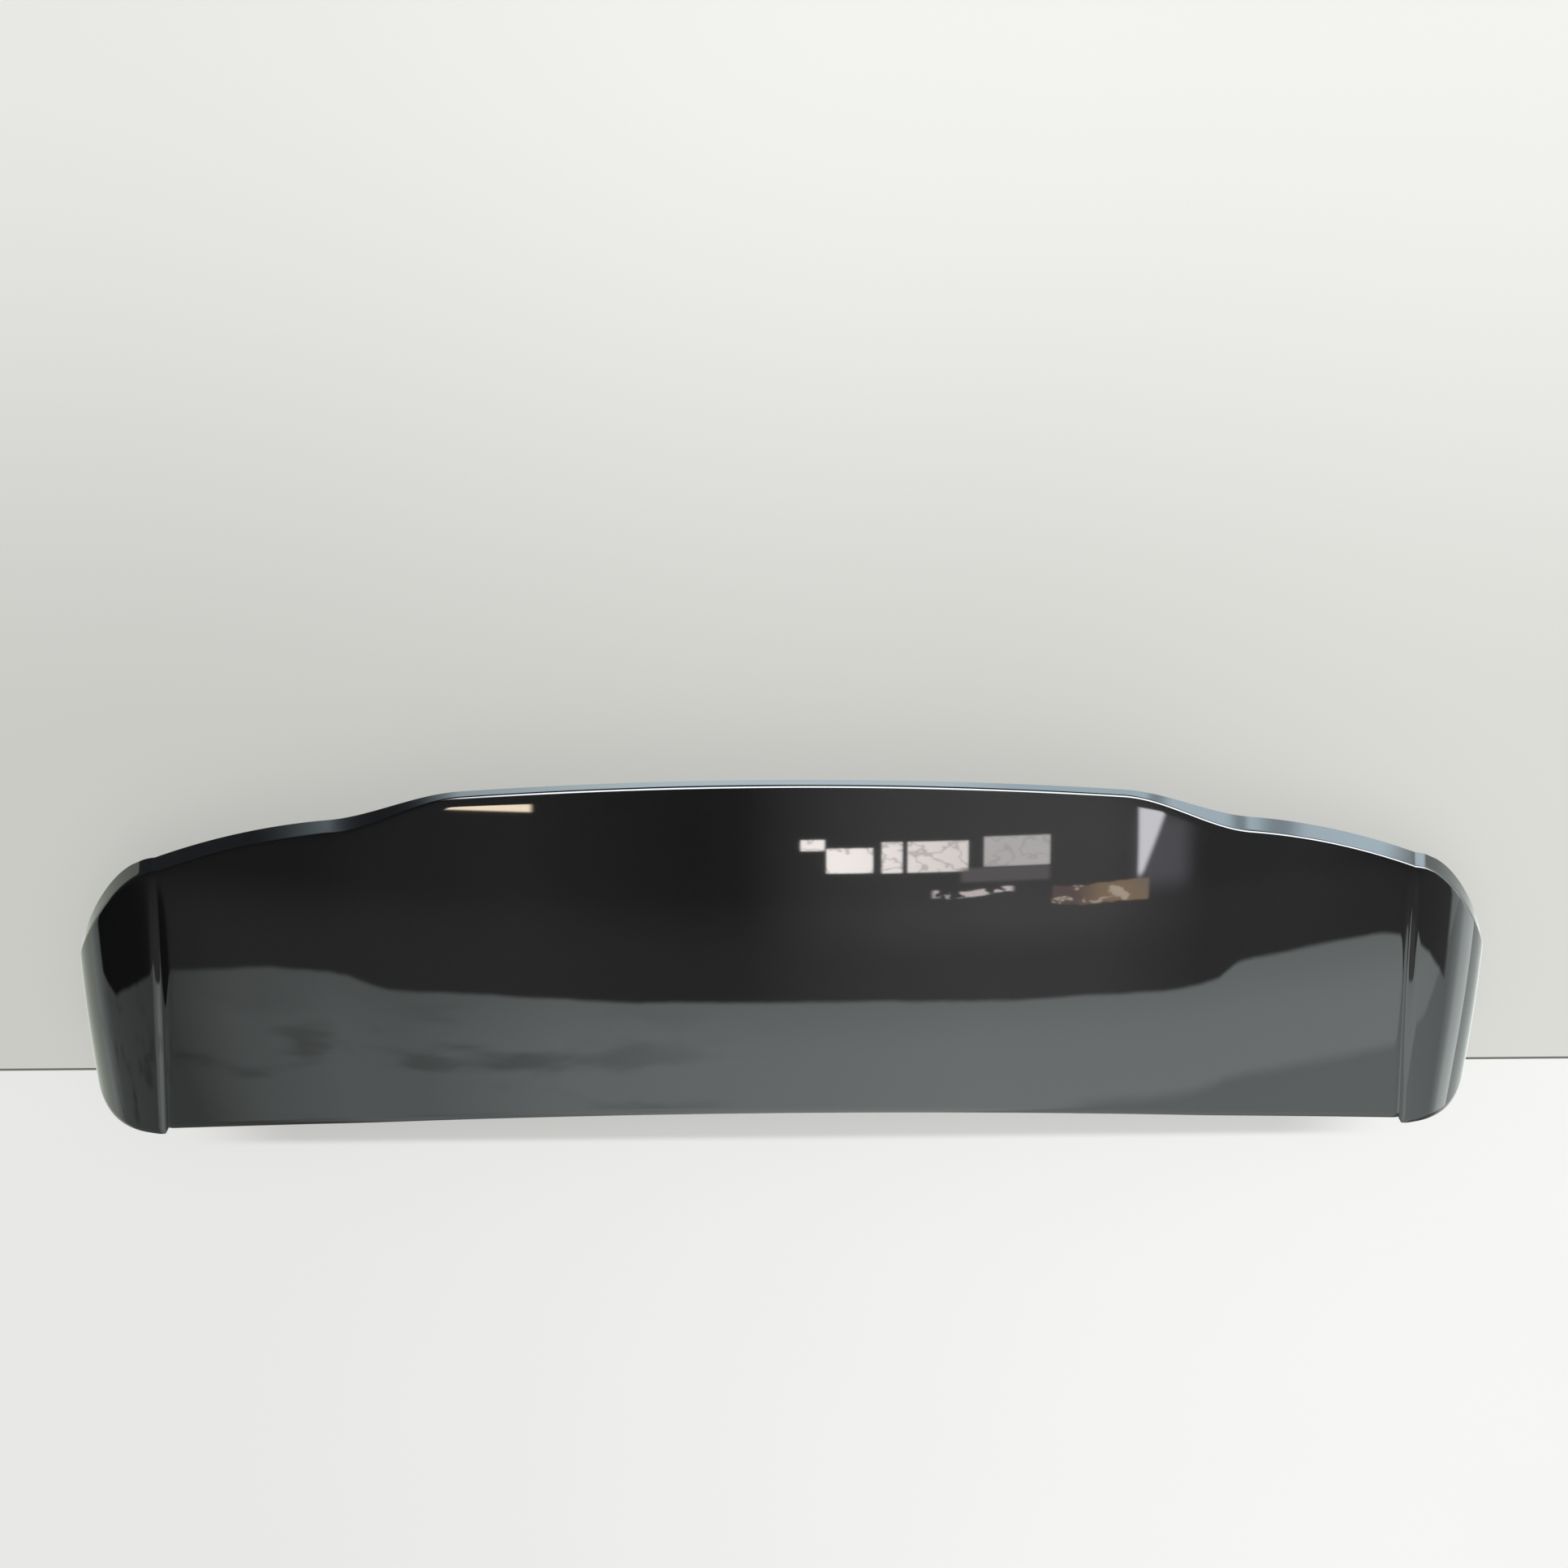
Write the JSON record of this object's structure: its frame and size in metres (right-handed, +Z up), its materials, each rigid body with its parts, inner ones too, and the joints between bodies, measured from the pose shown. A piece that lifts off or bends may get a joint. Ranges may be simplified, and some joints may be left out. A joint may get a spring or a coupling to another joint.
{
  "type": "tailgate spoiler",
  "caption": "Painted roof spoiler for the upper edge of a vehicle's tailgate, a crowned panel with a raised centre and rounded ends over a bonded carrier with studs, pins and clips.",
  "frame": {"origin": "on the floor plane, at the centre of the box around the part; Z = 0 is the lower edges of both ends, on which the part stands", "axes": "+X across the car towards the right of the picture, +Y towards the trailing edge, +Z up as mounted"},
  "size_m": [1.272, 0.3383, 0.124],
  "materials": {
    "paint": "dark grey-blue metallic paint under a clear coat",
    "moulded_black": "finely grained black moulding",
    "adhesive": "cured structural adhesive",
    "rubber_black": "dull black rubber and foam",
    "plated_steel": "zinc plated",
    "clip_nylon": "natural nylon"
  },
  "bodies": {
    "root": {"outer_skin": "paint", "inner_panel": "moulded_black", "front_bond_bead": "adhesive", "rear_bond_bead": "adhesive", "front_seal": "rubber_black", "fixing_stud_1": "plated_steel", "fixing_stud_2": "plated_steel", "fixing_stud_3": "plated_steel", "fixing_stud_4": "plated_steel", "stud_gasket_1": "rubber_black", "stud_gasket_2": "rubber_black", "stud_gasket_3": "rubber_black", "stud_gasket_4": "rubber_black", "edge_clip_1": "clip_nylon", "edge_clip_2": "clip_nylon", "edge_clip_3": "clip_nylon", "edge_clip_4": "clip_nylon"}
  },
  "joints": []
}
